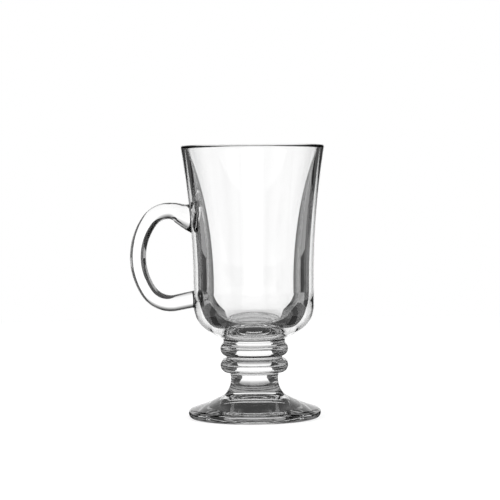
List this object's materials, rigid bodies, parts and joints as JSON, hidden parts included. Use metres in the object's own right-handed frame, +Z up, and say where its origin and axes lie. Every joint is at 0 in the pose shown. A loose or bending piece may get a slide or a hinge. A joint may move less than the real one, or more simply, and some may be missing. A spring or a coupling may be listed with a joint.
{
  "type": "irish coffee glass mug",
  "caption": "Clear glass mug with a flared thick-walled bowl, a looped rod handle on one side, a short stem with rounded rings and a round sloping foot, for hot drinks.",
  "frame": {"origin": "on the mug's axis, in the plane of the foot's resting face", "axes": "+Z up along the mug's axis, -X towards the handle, +Y across the handle's plane"},
  "size_m": [0.1072, 0.0788, 0.15],
  "materials": {
    "bowl_glass": "clear, fire-polished",
    "handle_glass": "clear, fire-polished",
    "stem_glass": "clear, pressed",
    "foot_glass": "clear, pressed"
  },
  "bodies": {
    "root": {"bowl": "bowl_glass", "handle": "handle_glass", "collar": "stem_glass", "upper_ring": "stem_glass", "lower_ring": "stem_glass", "stem": "stem_glass", "foot": "foot_glass"}
  },
  "joints": []
}
